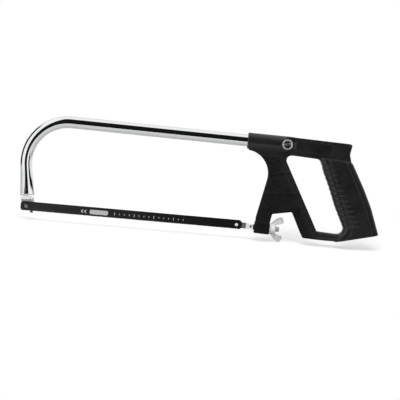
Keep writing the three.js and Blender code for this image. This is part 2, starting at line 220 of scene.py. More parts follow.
def box(x, y, z, middle, half, edge):
    """A rounded block: middle and half sizes are (x, y, z)."""
    a = np.abs(x - middle[0]) - half[0] + edge
    b = np.abs(y - middle[1]) - half[1] + edge
    c = np.abs(z - middle[2]) - half[2] + edge
    outside = np.sqrt(np.maximum(a, 0) ** 2 + np.maximum(b, 0) ** 2 + np.maximum(c, 0) ** 2)
    return outside + np.minimum(np.maximum(np.maximum(a, b), c), 0) - edge


# ------------------------------------------------------------------ meshes


def surface_net(values, low, step):
    """Points and quads on the zero level of a grid of values, negative inside."""
    cells = tuple(size - 1 for size in values.shape)
    total = np.zeros((*cells, 3), np.float32)
    count = np.zeros(cells, np.int32)
    quads = []
    numbers = np.arange(np.prod(cells)).reshape(cells)
    for axis in range(3):
        turned = np.moveaxis(values, axis, 0)
        first, second = turned[:-1], turned[1:]
        i, j, k = np.nonzero((first < 0) != (second < 0))
        near, far = first[i, j, k], second[i, j, k]
        crossing = np.stack([i + near / (near - far), j, k], axis=1).astype(np.float32)
        order = [axis] + [a for a in range(3) if a != axis]
        back = np.argsort(order)
        around = []
        for dj, dk in ((-1, -1), (0, -1), (0, 0), (-1, 0)):
            cell = np.stack([i, j + dj, k + dk], axis=1)[:, back]
            cell = tuple(cell.T)
            np.add.at(total, cell, crossing[:, back])
            np.add.at(count, cell, 1)
            around.append(numbers[cell])
        faces = np.stack(around, axis=1)
        flip = (near > far) != (axis == 1)
        faces[flip] = faces[flip][:, ::-1]
        quads.append(faces)
    quads = np.concatenate(quads)
    used, quads = np.unique(quads, return_inverse=True)
    points = total.reshape(-1, 3)[used] / count.reshape(-1)[used][:, None]
    return low + points * step, quads.reshape(-1, 4)


def mesh_field(field, low, high, step):
    """The surface of a field inside the box low..high, drawn onto it once more."""
    low = np.array(low, float) - 1.5 * step
    sizes = np.ceil((np.array(high, float) + 1.5 * step - low) / step).astype(int) + 1
    x, y, z = (low[a] + step * np.arange(sizes[a]) for a in range(3))
    values = field(x[:, None, None], y[None, :, None], z[None, None, :])
    values = np.broadcast_to(values, sizes).astype(np.float32)
    points, quads = surface_net(values, low, step)
    for _ in range(2):
        here = field(*points.T)
        nudge = 0.04
        slope = np.stack(
            [field(*(points + nudge * np.eye(3)[a]).T) - here for a in range(3)], axis=1
        )
        slope /= nudge
        steepness = np.maximum((slope**2).sum(1), 0.25)
        move = np.clip(here / steepness, -0.4 * step, 0.4 * step)
        points = points - move[:, None] * slope
    return points, quads


def piece(name, points, faces, place, body, node, material):
    """A smooth mesh of drawing millimetres, standing for a CAD node and riding its body."""
    moved = np.array(points) @ np.array(place.to_3x3()).T + np.array(place.to_translation())
    mesh = bpy.data.meshes.new(name)
    mesh.from_pydata(((moved - np.array(GRIP_MIDDLE)) * MM).tolist(), [], [list(f) for f in faces])
    mesh.validate()
    mesh.update()
    mesh.shade_smooth()
    mesh.materials.append(material)
    made = bpy.data.objects.new(name, mesh)
    bpy.context.scene.collection.objects.link(made)
    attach(made, body)
    if node:
        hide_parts(node)
    return made


def mark(made, name, values):
    """Gives each point of a piece a value that its material reads."""
    attribute = made.data.attributes.new(name, "FLOAT", "POINT")
    attribute.data.foreach_set("value", values.astype(np.float32))


def ring_faces(rings, sides, closed):
    """Quads between rings of points; closed joins the last ring to the first."""
    faces = []
    for ring in range(rings if closed else rings - 1):
        following = (ring + 1) % rings
        for side in range(sides):
            beside = (side + 1) % sides
            faces.append(
                (
                    ring * sides + side,
                    ring * sides + beside,
                    following * sides + beside,
                    following * sides + side,
                )
            )
    return faces


def turned(profile, sides=48):
    """A solid of revolution about Y from (y, radius) points between two end caps."""
    angles = 2 * np.pi * np.arange(sides) / sides
    points = [
        (radius * math.cos(angle), y, radius * math.sin(angle))
        for y, radius in profile
        for angle in angles
    ]
    faces = ring_faces(len(profile), sides, closed=False)
    faces.append(tuple(reversed(range(sides))))
    faces.append(tuple(range((len(profile) - 1) * sides, len(profile) * sides)))
    return np.array(points), faces


def rounded_end(y, radius, inward, bevel, steps=4):
    """Profile points (y, radius) of a rounded rim; inward is the sign of y into the solid."""
    points = []
    for step in range(steps + 1):
        angle = math.pi / 2 * step / steps
        points.append(
            (y + inward * bevel * (1 - math.sin(angle)), radius - bevel * (1 - math.cos(angle)))
        )
    return list(reversed(points))


# ------------------------------------------------------------------ places in the saw


def bow_point(length):
    """Centre line of the bow: (x, z) and heading at a length from its rear end."""
    top, leg = math.pi - TUBE_FALL, 1.5 * math.pi + LEG_LEAN
    bend = BEND_RADIUS * (leg - top)
    along = min(max(length - TOP_RUN, 0), bend)
    heading = top + along / BEND_RADIUS
    straight = length - TOP_RUN if length < TOP_RUN else max(0, length - TOP_RUN - bend)
    x = BEND_CENTRE[0] + BEND_RADIUS * math.sin(heading) + straight * math.cos(heading)
    z = BEND_CENTRE[1] - BEND_RADIUS * math.cos(heading) + straight * math.sin(heading)
    return x, z, heading


BEND_LENGTH = BEND_RADIUS * (math.pi / 2 + LEG_LEAN + TUBE_FALL)
BOW_LENGTH = TOP_RUN + BEND_LENGTH + LEG_LENGTH
TUBE_END = bow_point(0)
LEG_END = bow_point(BOW_LENGTH)
SCREW_POINT = bow_point(SCREW_FROM_END)

HERE = Matrix.Identity(4)
TO_DRAW_LINE = Matrix.Translation((PIN_SPACING + PIN_SHIFT, 0, 0)) @ Matrix.Rotation(DRAW_FALL, 4, "Y")
TO_LEG_END = Matrix.Translation((LEG_END[0], 0, LEG_END[1])) @ Matrix.Rotation(-LEG_LEAN, 4, "Y")
TO_SCREW = Matrix.Translation((SCREW_POINT[0], 0, SCREW_POINT[1]))
TO_NUT = TO_DRAW_LINE @ Matrix.Translation((NUT_FRONT, 0, 0)) @ Matrix.Rotation(WING_TURN, 4, "X")


def along_line(x, z, place):
    """Drawing coordinates (x, z) turned into a place's own (x, z)."""
    inverse = place.inverted()
    return (
        inverse[0][0] * x + inverse[0][2] * z + inverse[0][3],
        inverse[2][0] * x + inverse[2][2] * z + inverse[2][3],
    )


# ------------------------------------------------------------------ materials


class Nodes:
    """The node tree of a new material or world, with short calls for the nodes used here."""

    def __init__(self, owner):
        self.owner = owner
        self.owner.use_nodes = True
        self.tree = self.owner.node_tree
        self.shader = self.tree.nodes.get("Principled BSDF")
        self.place = self.tree.nodes.new("ShaderNodeTexCoord").outputs["Object"]

    def link(self, out, into):
        self.tree.links.new(out, into)

    def stretched(self, scale):
        node = self.tree.nodes.new("ShaderNodeMapping")
        node.inputs["Scale"].default_value = scale
        self.link(self.place, node.inputs["Vector"])
        return node.outputs["Vector"]

    def noise(self, scale, detail=3.0, vector=None, roughness=0.5):
        node = self.tree.nodes.new("ShaderNodeTexNoise")
        node.inputs["Scale"].default_value = scale
        node.inputs["Detail"].default_value = detail
        node.inputs["Roughness"].default_value = roughness
        self.link(vector or self.place, node.inputs["Vector"])
        return node.outputs["Fac"]

    def cells(self, scale, vector=None):
        node = self.tree.nodes.new("ShaderNodeTexVoronoi")
        node.feature = "SMOOTH_F1"
        node.inputs["Scale"].default_value = scale
        node.inputs["Smoothness"].default_value = 0.6
        self.link(vector or self.place, node.inputs["Vector"])
        return node.outputs["Distance"]

    def ramp(self, fac, low, high, start=0.0, end=1.0):
        node = self.tree.nodes.new("ShaderNodeMapRange")
        node.inputs["From Min"].default_value = start
        node.inputs["From Max"].default_value = end
        node.inputs["To Min"].default_value = low
        node.inputs["To Max"].default_value = high
        self.link(fac, node.inputs["Value"])
        return node.outputs["Result"]

    def maths(self, operation, a, b):
        node = self.tree.nodes.new("ShaderNodeMath")
        node.operation = operation
        for value, socket in ((a, node.inputs[0]), (b, node.inputs[1])):
            if isinstance(value, (int, float)):
                socket.default_value = value
            else:
                self.link(value, socket)
        return node.outputs[0]

    def mix(self, fac, a, b):
        node = self.tree.nodes.new("ShaderNodeMix")
        node.data_type = "RGBA"
        self.link(fac, node.inputs["Factor"])
        for colour, socket in ((a, node.inputs["A"]), (b, node.inputs["B"])):
            if isinstance(colour, tuple):
                socket.default_value = (*colour, 1)
            else:
                self.link(colour, socket)
        return node.outputs["Result"]

    def bump(self, height, distance, strength=1.0, under=None):
        node = self.tree.nodes.new("ShaderNodeBump")
        node.inputs["Distance"].default_value = distance
        node.inputs["Strength"].default_value = strength
        self.link(height, node.inputs["Height"])
        if under:
            self.link(under, node.inputs["Normal"])
        self.link(node.outputs["Normal"], self.shader.inputs["Normal"])
        return node.outputs["Normal"]

    def set(self, **values):
        for name, value in values.items():
            self.shader.inputs[name.replace("_", " ")].default_value = value

    def axis(self, letter):
        node = self.tree.nodes.new("ShaderNodeSeparateXYZ")
        self.link(self.place, node.inputs[0])
        return node.outputs[letter]

    def attribute(self, name):
        node = self.tree.nodes.new("ShaderNodeAttribute")
        node.attribute_name = name
        return node.outputs["Fac"]

    def light_path(self, name):
        return self.tree.nodes.new("ShaderNodeLightPath").outputs[name]


def new_material(name):
    return Nodes(bpy.data.materials.new(name))


def casting_material():
    """Satin black coat over a pebbled casting, coarser on the web, with its specular cut along the
    grip's rear edge as painted shade.
    """
    made = new_material("satin_black_casting")
    coarse = made.attribute("coarse")
    fine_pebbles = made.cells(1500)
    wide_pebbles = made.noise(760, 2.0)
    grain = made.noise(3200, 2.0)
    blotches = made.noise(60, 4.0)
    tone = made.ramp(blotches, 0, 1, 0.3, 0.7)
    colour = made.mix(tone, (0.0045, 0.0045, 0.0048), (0.008, 0.008, 0.0084))
    speckle = made.maths("MULTIPLY", coarse, made.ramp(wide_pebbles, 0, 1, 0.45, 0.7))
    made.link(made.mix(speckle, colour, (0.014, 0.014, 0.014)), made.shader.inputs["Base Color"])
    satin = made.maths("ADD", made.ramp(blotches, 0.26, 0.32, 0.3, 0.7), made.ramp(coarse, 0.0, 0.16))
    made.link(satin, made.shader.inputs["Roughness"])
    wide = made.maths("MULTIPLY", wide_pebbles, made.ramp(coarse, 0.25, 1.0))
    first = made.bump(wide, 0.0009, 0.9)
    second = made.bump(fine_pebbles, 0.00007, 0.6, first)
    made.bump(grain, 0.00003, 0.5, second)
    # Painted shade: the specular is cut along the grip's rear edge so that the edge reads dark.
    rear_shade_cut = made.ramp(made.attribute("painted_rear_shade"), 1.0, 0.2)
    gloss = made.maths("MULTIPLY", made.ramp(coarse, 0.5, 0.15), rear_shade_cut)
    made.link(gloss, made.shader.inputs["Specular IOR Level"])
    return made.owner


def chrome_material(name, roughness):
    """Bright plate with very fine wipe marks and a faint unevenness."""
    made = new_material(name)
    wipes = made.noise(900, 3.0, made.stretched((0.06, 1.0, 1.0)))
    clouds = made.noise(45, 3.0)
    made.set(Base_Color=(0.86, 0.87, 0.88, 1), Metallic=1.0)
    uneven = made.maths("ADD", made.ramp(wipes, 0, 0.035, 0.35, 0.75), made.ramp(clouds, 0, 0.03))
    made.link(made.maths("ADD", uneven, roughness), made.shader.inputs["Roughness"])
    made.bump(wipes, 0.000002, 0.4)
    return made.owner


def plated_material(name, low, high, roughness, grain_scale, grain_depth):
    """Zinc plate, cloudy and with a fine grain, with a dark steel colour where a piece is marked: bare
    milled steel in places, painted shade and painted dark reflections in others.
    """
    made = new_material(name)
    clouds = made.noise(160, 5.0, None, 0.6)
    grain = made.noise(grain_scale, 4.0, None, 0.65)
    plate = made.mix(made.ramp(clouds, 0, 1, 0.3, 0.7), low, high)
    # Dark steel colour: bare milled steel on the bolt's tongue, and painted shade and painted dark
    # reflections in the recesses and edges that pieces mark.
    milled = made.noise(1500, 3.0, made.stretched((1.0, 1.0, 0.08)))
    bare_steel_and_shade = made.mix(made.ramp(milled, 0, 1, 0.35, 0.65), (0.09, 0.09, 0.09), (0.22, 0.22, 0.22))
    made.link(made.mix(made.attribute("bare_steel_and_shade"), plate, bare_steel_and_shade), made.shader.inputs["Base Color"])
    made.set(Metallic=0.45)
    made.link(made.ramp(clouds, roughness, roughness + 0.12, 0.3, 0.7), made.shader.inputs["Roughness"])
    made.bump(grain, grain_depth, 0.7)
    return made.owner


def blade_material():
    """Black enamel on rolled strip, painted lighter at the front end and darker towards the rear as
    painted shading.
    """
    made = new_material("black_enamel_strip")
    rolling = made.noise(700, 4.0, made.stretched((0.03, 1.0, 1.0)))
    specks = made.noise(2600, 3.0, None, 0.7)
    length = made.axis("X")
    # Painted light: the colour falls from lighter at the front end to darker at the rear, streaked by
    # the rolling marks.
    tone = made.ramp(length, 0.018, 0.003, -0.466, -0.18)
    streaked_painted_shading = made.maths("MULTIPLY", made.ramp(rolling, 0.75, 1.25, 0.3, 0.7), tone)
    colour = made.tree.nodes.new("ShaderNodeCombineColor")
    for channel in ("Red", "Green", "Blue"):
        made.link(streaked_painted_shading, colour.inputs[channel])
    made.link(colour.outputs["Color"], made.shader.inputs["Base Color"])
    made.link(made.ramp(rolling, 0.3, 0.44, 0.3, 0.7), made.shader.inputs["Roughness"])
    made.set(Specular_IOR_Level=0.2)
    first = made.bump(rolling, 0.00002, 0.6)
    made.bump(specks, 0.00001, 0.6, first)
    return made.owner


def print_material():
    """Pale ink of the blade's plain marks, thin in places."""
    made = new_material("pale_ink")
    thin = made.noise(1800, 4.0, None, 0.7)
    made.link(made.mix(made.ramp(thin, 0, 1, 0.3, 0.5), (0.16, 0.16, 0.16), (0.36, 0.36, 0.35)),
              made.shader.inputs["Base Color"])
    made.set(Roughness=0.55)
    made.bump(thin, 0.00001, 0.5)
    return made.owner


# ------------------------------------------------------------------ handle

WEB = outline([
    (307.9, 107.4),
    (345.5, 104, 33.5),
    (326.6, 13, 20),
    (326.1, 0),
    (345.8, 0),
    (349.4, 19.6, 1.5),
    (377, 24.8, 2.5),
    (392.2, -5.5),
    (417.5, -5.5),
    (371, 94),
    (374, 114),
    (310, 118),
])
TOP_BAR = outline([
    (360, 130.9),
    (450.5, 128.1, 2.5),
    (453.8, 126.4, 1),
    (451.4, 113, 9),
    (454.6, 101),
    (440, 92),
    (412, 96),
    (366, 98),
])
GRIP = outline([
    (398, 125),
    (425, 66),
    (444, 20),
    (440, -20),
    (508.6, -14.4),
    (488.6, 40, 60),
    (476.6, 65, 60),
    (461.8, 92),
    (446, 119.8),
])
GUARD = outline([
    (390.5, -0.8, 1),
    (395, -10.4, 2),
    (424, -11.5),
    (447, -11.3),
    (456, 6),
    (440, 8),
    (414, 8),
    (412.5, -1.3),
])
HAND_HOLE = outline([
    (357.8, 105.4, 7),
    (410.4, 102.7, 7),
    (422.4, 66, 50),
    (456.4, -1.4, 8.5),
    (414.4, 0.6, 2),
])
GRIP_TOP = ((411, 105.2), (452, 102.8))
GRIP_BOTTOM = ((445, -11.4), (502.3, 2.5))
WEB_STEPS = (((342, 75), (370, 80)), ((346, 47), (383, 51)))
SEAM = ((414, 1), (417, -9))
LABEL_MIDDLE = (400.5, 118.3)
LABEL_HALF = (27.0, 7.6)
LABEL_FALL = 0.031


def above_line(line, x, z):
    """Distance from a line of two points, positive on its left going from first to second."""
    (ax, az), (bx, bz) = line
    length = math.hypot(bx - ax, bz - az)
    return ((bx - ax) * (z - az) - (bz - az) * (x - ax)) / length


def barrel_field(x, y, z):
    """The barrel round the tube, with each point's distance behind the tube's end and off its axis."""
    over, up = x - TUBE_END[0], z - TUBE_END[1]
    behind = over * math.cos(TUBE_FALL) - up * math.sin(TUBE_FALL)
    off_axis = np.hypot(y, over * math.sin(TUBE_FALL) + up * math.cos(TUBE_FALL))
    length = np.abs(behind + BARREL_FRONT / 2) - BARREL_FRONT / 2
    return rounded(off_axis - BARREL_RADIUS, length, 1.2), behind, off_axis


def web_field(x, y, z, hole):
    """The pebbled web and strut, with two ledges that swell out above and step back below."""
    swell = 0
    for line in WEB_STEPS:
        over = above_line(line, x, z)
        share = np.clip((x - line[0][0]) / (line[1][0] - line[0][0]), 0, 1)
        rise = np.clip(1 - over / 6, 0, 1) ** 2 * smooth(over, -0.5, 0.3)
        swell = swell + (0.8 + share) * rise
    plan = np.maximum(polygon(WEB, x, z), -hole)
    return rounded(plan, np.abs(y) - WEB_HALF - swell, 2.0)


def bar_field(x, y, z, hole):
    """The top bar, with a shallow blank panel for a label in each side."""
    middle = LABEL_MIDDLE[1] - LABEL_FALL * (x - LABEL_MIDDLE[0])
    panel = rounded(
        np.abs(x - LABEL_MIDDLE[0]) - LABEL_HALF[0],
        np.abs(z - middle) - LABEL_HALF[1],
        5.0,
    )
    half = BAR_HALF - 0.45 * smooth(-panel, -0.2, 0.7)
    plan = np.maximum(polygon(TOP_BAR, x, z), -hole)
    return rounded(plan, np.abs(y) - half, 1.6)


def grip_field(x, y, z, hole):
    """The grip: rounded front and back, and finger ribs that run out over the sides."""
    back = polygon(GRIP, x, z)
    edge = 8.0 + 3.5 * smooth(hole + back, -6, 8)
    hollow = 0.5 * smooth(hole, 10, 16) * smooth(-back, 8, 14)
    body = rounded(np.maximum(back, -hole), np.abs(y) - GRIP_HALF + hollow, edge)
    phase = (RIB_FIRST - z + 1.1 * RIB_RISE * hole) / RIB_PITCH
    groove = (0.5 - 0.5 * np.cos(2 * np.pi * phase)) ** 1.5
    among = smooth(phase, -0.9, -0.45) * (1 - smooth(phase, RIB_COUNT - 0.55, RIB_COUNT - 0.1))
    reach = 21 + 6 * phase / RIB_COUNT
    fade = (0.3 + 0.7 * smooth(hole, 0, 7)) * (1 - smooth(hole, reach - 12, reach))
    body = body + RIB_DEPTH * groove * among * fade
    body = cut(body, -above_line(GRIP_TOP, x, z), 2.5)
    return cut(body, above_line(GRIP_BOTTOM, x, z), 1.2)


def guard_field(x, y, z, hole):
    """The guard bar, and the block at its front end behind a seam."""
    edge = 2.2 + 2.8 * smooth(x, 414, 420)
    plan = np.maximum(polygon(GUARD, x, z), -hole)
    seam = np.exp(-((above_line(SEAM, x, z) / 0.8) ** 2))
    return rounded(plan, np.abs(y) - GUARD_HALF, edge) + seam * smooth(np.abs(y), 3, 5)


def foot_fields(x, y, z):
    """The foot boss with its two guide lugs, and the passage through it for the draw bolt."""
    along, up = along_line(x, z, TO_DRAW_LINE)
    middle, half = (FOOT_FRONT + FOOT_REAR) / 2, (FOOT_REAR - FOOT_FRONT) / 2
    section = rounded(np.abs(y) - FOOT_HALF_DEPTH, np.abs(up) - FOOT_HALF_HEIGHT, 4.5)
    boss = rounded(section, np.abs(along - middle) - half, 1.0)
    lugs = box(along, np.abs(y), up, (FOOT_FRONT + 0.6, 6.1, 0), (2.4, 1.5, 3.7), 1.2)
    side = SHANK_HALF + 0.3
    pocket = box(along, y, up, (FOOT_FRONT + 3, 0, 0), (9, side, side), 0.3)
    bore = np.hypot(y, up) - STUD_RADIUS - 0.3
    return join(boss, lugs, 0.6), np.minimum(pocket, bore)


def handle_field(x, y, z):
    hole = polygon(HAND_HOLE, x, z)
    barrel, behind, off_axis = barrel_field(x, y, z)
    foot, passage = foot_fields(x, y, z)
    body = join(web_field(x, y, z, hole), barrel, 1.5)
    body = join(body, bar_field(x, y, z, hole), 0.8)
    body = join(body, guard_field(x, y, z, hole), 0.8)
    body = join(body, grip_field(x, y, z, hole), 1.0)
    body = join(body, foot, 1.0)
    bore = np.maximum(off_axis - TUBE_RADIUS - 0.3, behind - 1.5)
    off_screw = np.hypot(x - SCREW_POINT[0], z - SCREW_POINT[1])
    seats = np.maximum(off_screw - SCREW_HEAD_RADIUS - 0.3, SCREW_SEAT - 0.3 - np.abs(y))
    screw_hole = off_screw - np.where(y < 0, 3.3, 4.8)
    openings = np.minimum(np.minimum(bore, seats), screw_hole)
    return cut(cut(body, hole), np.minimum(openings, passage), 0.4)


def build_handle():
    points, faces = mesh_field(handle_field, (305, -13.6, -12), (503, 13.6, 132), HANDLE_GRID)
    black = casting_material()
    made = piece("cast_handle", points, faces, HERE, "frame", "handle_casting", black)
    x, y, z = points.T
    barrel = barrel_field(x, y, z)[0]
    foot = foot_fields(x, y, z)[0]
    coarse = smooth(-polygon(WEB, x, z), -0.6, 0.4) * smooth(np.minimum(barrel, foot), 0.2, 1.0)
    mark(made, "coarse", coarse)
    off_hole, from_rear = polygon(HAND_HOLE, x, z), -polygon(GRIP, x, z)
    # Marks the band along the grip's rear edge where the casting's specular is cut to paint shade.
    mark(made, "painted_rear_shade", smooth(off_hole, 8, 12) * (1 - smooth(from_rear, 3, 13)) * (z < 100))


# ------------------------------------------------------------------ bow tube


def pressed_outline(angles):
    """The pressed leg's reach at each angle, as a share of its ellipse: flats with soft creases."""
    flats = ((1.02, 180), (1.0, 123), (1.0, 79), (1.02, 32), (1.02, 0))
    sharpness = 22
    from_front = np.abs(angles - 2 * np.pi * (angles > np.pi))
    total = 0
    for distance, facing in flats:
        towards = np.maximum(np.cos(from_front - math.radians(facing)), 1e-3)
        total = total + towards**sharpness / distance**sharpness
    return total ** (-1 / sharpness)


def build_tube():
    """The bent tube, round along the top and pressed flatter towards the leg's end."""
    sides, rim = (72), 0.4
    bend_steps, leg_steps = 64, 26
    lengths = [0, rim * 0.3, rim, 0.1 * TOP_RUN, 0.5 * TOP_RUN, TOP_RUN]
    lengths += [TOP_RUN + BEND_LENGTH * step / bend_steps for step in range(1, bend_steps + 1)]
    leg_start = TOP_RUN + BEND_LENGTH
    lengths += [leg_start + (LEG_LENGTH - rim) * step / leg_steps for step in range(1, leg_steps + 1)]
    lengths += [BOW_LENGTH - rim * 0.3, BOW_LENGTH]
    stations = [(length, 0.0) for length in lengths]
    stations += [(length, TUBE_WALL) for length in reversed(lengths)]
    angles = 2 * np.pi * np.arange(sides) / sides
    points = []
    for length, inset in stations:
        x, z, heading = bow_point(length)
        pressed = smooth(length, leg_start, BOW_LENGTH)
        to_end = min(length, BOW_LENGTH - length, rim)
        lip = (rim - math.sqrt(rim**2 - (rim - to_end) ** 2)) * (1 if inset == 0 else -1)
        width = TUBE_RADIUS + (LEG_END_WIDTH / 2 - TUBE_RADIUS) * pressed - inset - lip
        depth = TUBE_RADIUS + (LEG_END_DEPTH / 2 - TUBE_RADIUS) * pressed - inset - lip
        reach = (1 - pressed) + pressed * pressed_outline(angles)
        across = width * reach * np.cos(angles)
        points.append(
            np.stack(
                [
                    x + across * math.sin(heading),
                    -depth * reach * np.sin(angles),
                    z - across * math.cos(heading),
                ],
                axis=1,
            )
        )
    faces = ring_faces(len(stations), sides, closed=True)
    chrome = chrome_material("bright_chrome_tube", 0.05)
    piece("bent_tube", np.concatenate(points), faces, HERE, "frame", "bow_tube", chrome)


# ------------------------------------------------------------------ front blade holder


def holder_field(x, y, z):
    """The block under the leg with its blade seat, its tang, and the holes for its two pins."""
    over, up = along_line(x, z, TO_LEG_END)
    plan = polygon(HOLDER, over, up)
    body = rounded(plan, np.abs(y) - HOLDER_HALF_DEPTH, 0.9)
    wide = LEG_END_WIDTH / 2 - TUBE_WALL - 1.6
    deep = LEG_END_DEPTH / 2 - TUBE_WALL - 0.3
    tang = rounded((np.hypot(over / wide, y / deep) - 1) * deep, np.abs(up - 11) - 13, 0.8)
    body = join(body, tang)
    body = cut(body, np.maximum(y - SEAT_Y, up + HOLDER_STEP), 0.3)
    pin_hole = np.hypot(x + PIN_SHIFT, z) - PIN_RADIUS - 0.25
    turned_y = (SEAT_Y + HOLDER_HALF_DEPTH) / 2
    turned_hole = np.hypot(x - TURNED_PIN_X, y - turned_y) - TURNED_PIN_RADIUS - 0.25
    turned_hole = np.maximum(turned_hole, z - 2)
    return cut(body, np.minimum(pin_hole, turned_hole), 0.3)


HOLDER = outline([
    (-HOLDER_HALF_WIDTH, -0.3),
    (-HOLDER_HALF_WIDTH, -HOLDER_LENGTH, 5),
    (HOLDER_HALF_WIDTH, -HOLDER_LENGTH, 3),
    (HOLDER_HALF_WIDTH, -0.3),
])


def build_front_end(plated):
    """The holder block, its cross pin, and the pin for the turned blade pointing down from it."""
    body, slot = "frame", "plated_steel"
    points, faces = mesh_field(holder_field, (-13, -6.5, -9), (16, 6.5, 42), BLOCK_GRID)
    piece("front_holder_block", points, faces, HERE, body, "front_blade_holder", plated)
    across = Matrix.Translation((-PIN_SHIFT, 0, 0))
    pin = pin_from("front_pin", across, HOLDER_HALF_DEPTH, body, "front_blade_pin", plated)
    # Both front pins are drawn wholly in the dark steel colour.
    mark(pin, "bare_steel_and_shade", np.full(len(pin.data.vertices), 1.0))
    profile = rounded_end(-TURNED_PIN_REACH, TURNED_PIN_RADIUS, 1, 0.5)
    profile += reversed(rounded_end(0, TURNED_PIN_RADIUS, -1, 0.1))
    points, faces = turned(profile)
    turned_y = (SEAT_Y + HOLDER_HALF_DEPTH) / 2
    down = Matrix.Translation((TURNED_PIN_X, turned_y, 0)) @ Matrix.Rotation(math.pi / 2, 4, "X")
    pin = piece("turned_pin", points, faces, down, body, "front_turned_pin", plated)
    mark(pin, "bare_steel_and_shade", np.full(len(points), 1.0))


def pin_from(name, place, back, body, node, plated):
    """A cross pin with a rounded nose towards the near side."""
    profile = rounded_end(-PIN_STAND_OUT, PIN_RADIUS, 1, 0.6, 6)
    profile += reversed(rounded_end(back, PIN_RADIUS, -1, 0.2))
    points, faces = turned(profile)
    return piece(name, points, faces, place, body, node, plated)


# ------------------------------------------------------------------ draw bolt, washer and wing nut


def draw_bolt_field(x, y, z):
    """Square shank, half-thickness tongue, and an M8 stud with a real helix."""
    length = SHANK_END - TONGUE_FRONT
    shank = box(x, y, z, (TONGUE_FRONT + length / 2, 0, 0), (length / 2, SHANK_HALF, SHANK_HALF), 0.45)
    shank = cut(shank, np.maximum(y - SEAT_Y, x - TONGUE_END), 0.4)
    turn = x / THREAD_PITCH - np.arctan2(z, y) / (2 * np.pi)
    valley = np.clip((np.abs(2 * (turn - np.floor(turn)) - 1) - 0.125) / 0.75, 0, 1)
    radius = STUD_RADIUS - THREAD_DEPTH * valley * smooth(x, 28.5, 30.5)
    radius = np.minimum(radius, STUD_END + 2.9 - x)
    stud = np.maximum(np.hypot(y, z) - radius, np.maximum(SHANK_END - 1 - x, x - STUD_END))
    pin_hole = np.hypot(x, z) - PIN_RADIUS - 0.25
    off_dimple = np.hypot(x - DIMPLE_AT, z)
    dimple = np.maximum(off_dimple - 1.5, y + 2.4 + 0.4 * off_dimple)
    return cut(join(shank, stud), np.minimum(pin_hole, dimple), 0.3)


def washer_field(x, y, z):
    off = np.hypot(y, z)
    ring = np.maximum(off - WASHER_RADIUS, STUD_RADIUS + 0.3 - off)
    half = (WASHER_REAR - WASHER_FRONT) / 2
    return rounded(ring, np.abs(x - WASHER_FRONT - half) - half, 0.25)


WING = outline([
    (0.6, 4.6),
    (0.6, 8.5, 2),
    (6.4, 16, 8),
    (14, 20, 2),
    (17.5, 12.9, 2),
    (15.8, 9.9, 2),
    (6.2, 6.9),
    (6.2, 4.6),
])
WING_MIDDLE = (11.5, 13.4)


def wing_nut_field(x, y, z):
    """A hub and two ears, thicker at the hub, with a shallow hollow for the thumb."""
    off = np.hypot(y, z)
    cone = off - (8.0 - 1.6 * x / HUB_HEIGHT)
    hub = rounded(cone, np.abs(x - HUB_HEIGHT / 2) - HUB_HEIGHT / 2, 0.7)
    out = np.abs(z)
    half = 1.75 - 0.35 * smooth(out, 8, 20)
    hollow = 0.3 * np.exp(-((x - WING_MIDDLE[0]) ** 2 + (out - WING_MIDDLE[1]) ** 2) / 9)
    ears = rounded(polygon(WING, x, out), np.abs(y) - half + hollow, 1.2)
    return cut(join(hub, ears, 2.0), off - STUD_RADIUS - 0.2, 0.5)


def build_rear_end(plated):
    """The draw bolt with its pin, and the washer and wing nut behind the foot."""
    low, high = (TONGUE_FRONT, -SHANK_HALF, -SHANK_HALF), (STUD_END, SHANK_HALF, SHANK_HALF)
    points, faces = mesh_field(draw_bolt_field, low, high, THREAD_GRID)
    bolt = piece("square_draw_bolt", points, faces, TO_DRAW_LINE, "draw_bolt", "draw_bolt", plated)
    x, y, z = points.T
    # The tongue's milled face is drawn dark, as bare milled steel and as painted shade in its recess;
    # the inside of the dimple is dark as painted shade, and the stud is drawn partly in the dark steel
    # colour.
    stud = smooth(x, SHANK_END, SHANK_END + 1)
    tongue = (1 - smooth(x, TONGUE_END - 0.3, TONGUE_END)) * smooth(y, -0.5, 0.3)
    dimple = (np.hypot(x - DIMPLE_AT, z) < 1.7) & (y < 0)
    mark(bolt, "bare_steel_and_shade", np.maximum(np.maximum(tongue, 0.6 * stud), dimple))
    pin_from("rear_pin", TO_DRAW_LINE, SHANK_HALF, "draw_bolt", "rear_blade_pin", plated)
    points, faces = mesh_field(washer_field, (WASHER_FRONT, -8, -8), (WASHER_REAR, 8, 8), FITTING_GRID)
    piece("flat_washer", points, faces, TO_DRAW_LINE, "frame", "thrust_washer", plated)
    points, faces = mesh_field(wing_nut_field, (0, -8, -20), (17.6, 8, 20), BLOCK_GRID)
    dark, pale = (0.62, 0.62, 0.62), (0.80, 0.80, 0.79)
    satin = plated_material("satin_zinc_casting", dark, pale, 0.24, 900, 0.0001)
    nut = piece("two_wing_nut", points, faces, TO_NUT, "wing_nut", "wing_nut", satin)
    x, _, z = points.T
    # Painted dark reflection: the edges of the wing tips and of the upper wing are drawn dark.
    rim = smooth(polygon(WING, x, np.abs(z)), -0.8, -0.2) * smooth(np.abs(z), 8, 10)
    mark(nut, "bare_steel_and_shade", rim * np.maximum(smooth(x, 13.5, 15.5), z > 0))


# ------------------------------------------------------------------ frame screw and its sleeve nut


